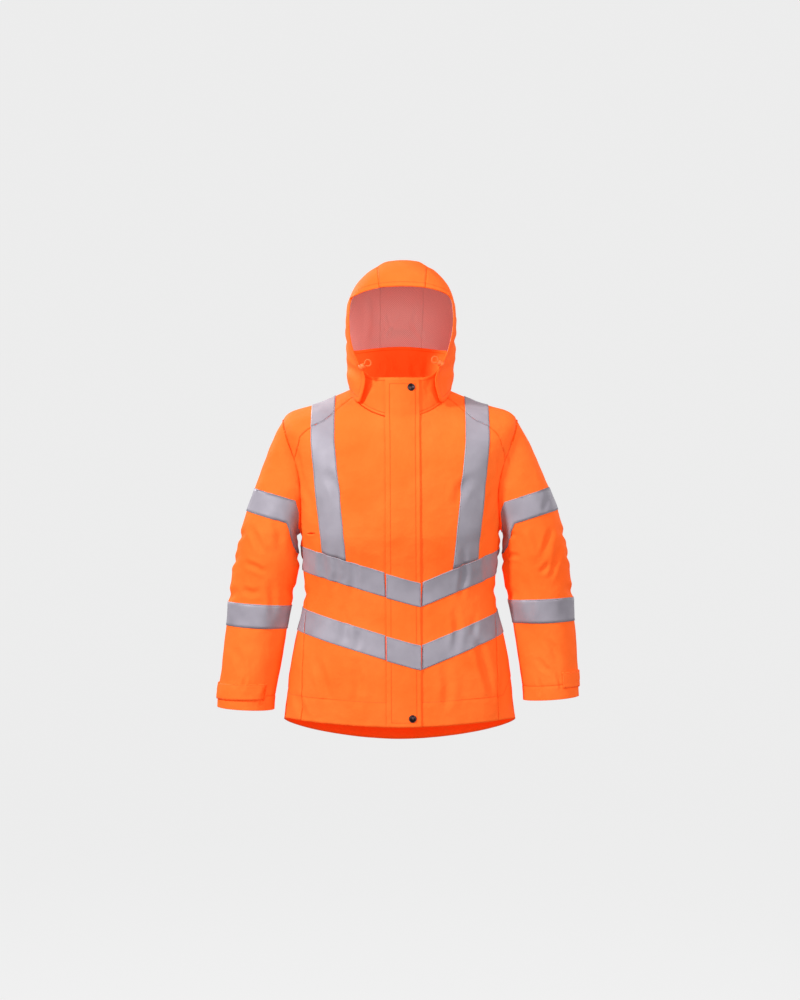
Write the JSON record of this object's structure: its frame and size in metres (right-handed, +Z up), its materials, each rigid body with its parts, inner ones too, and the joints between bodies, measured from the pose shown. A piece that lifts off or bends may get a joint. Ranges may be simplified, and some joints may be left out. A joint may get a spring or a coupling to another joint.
{
  "type": "hi-vis work jacket",
  "caption": "Women's hooded hi-vis winter work jacket with reflective tape bands and braces, hollow, hood up and storm flap closed.",
  "frame": {"origin": "middle of the neck between the shoulders, where the wearer holds the jacket up", "axes": "+Z up towards the hood, the front faces -Y, +X towards the wearer's left sleeve"},
  "size_m": [0.7607, 0.277, 1.0231],
  "materials": {
    "shell": "fluorescent orange coated woven polyester",
    "tape": "silver-grey reflective tape",
    "lining": "open polyester mesh over the orange cloth",
    "snap": "dark gunmetal",
    "cord_lock": "orange plastic"
  },
  "bodies": {
    "root": {"front_right": "shell", "front_left": "shell", "back": "shell", "yoke_right": "shell", "yoke_left": "shell", "sleeve_right": "shell", "sleeve_left": "shell", "collar": "shell", "hood_right": "shell", "hood_left": "shell", "hood_centre": "shell", "hood_lining_right": "lining", "hood_lining_left": "lining", "hood_lining_centre": "lining", "storm_flap": "shell", "zip_tape": "shell", "band_upper_front_right": "tape", "band_upper_front_left": "tape", "band_upper_back": "tape", "band_upper_flap": "tape", "band_lower_front_right": "tape", "band_lower_front_left": "tape", "band_lower_back": "tape", "band_lower_flap": "tape", "brace_front_right": "tape", "brace_back_right": "tape", "brace_yoke_right": "tape", "brace_front_left": "tape", "brace_back_left": "tape", "brace_yoke_left": "tape", "sleeve_band_upper_right": "tape", "sleeve_band_lower_right": "tape", "sleeve_band_upper_left": "tape", "sleeve_band_lower_left": "tape", "cuff_tab_right": "shell", "cuff_tab_left": "shell", "snap_collar": "snap", "snap_hem": "snap", "toggle_left": "cord_lock", "hood_cord_left": "shell", "toggle_right": "cord_lock", "hood_cord_right": "shell"}
  },
  "joints": []
}
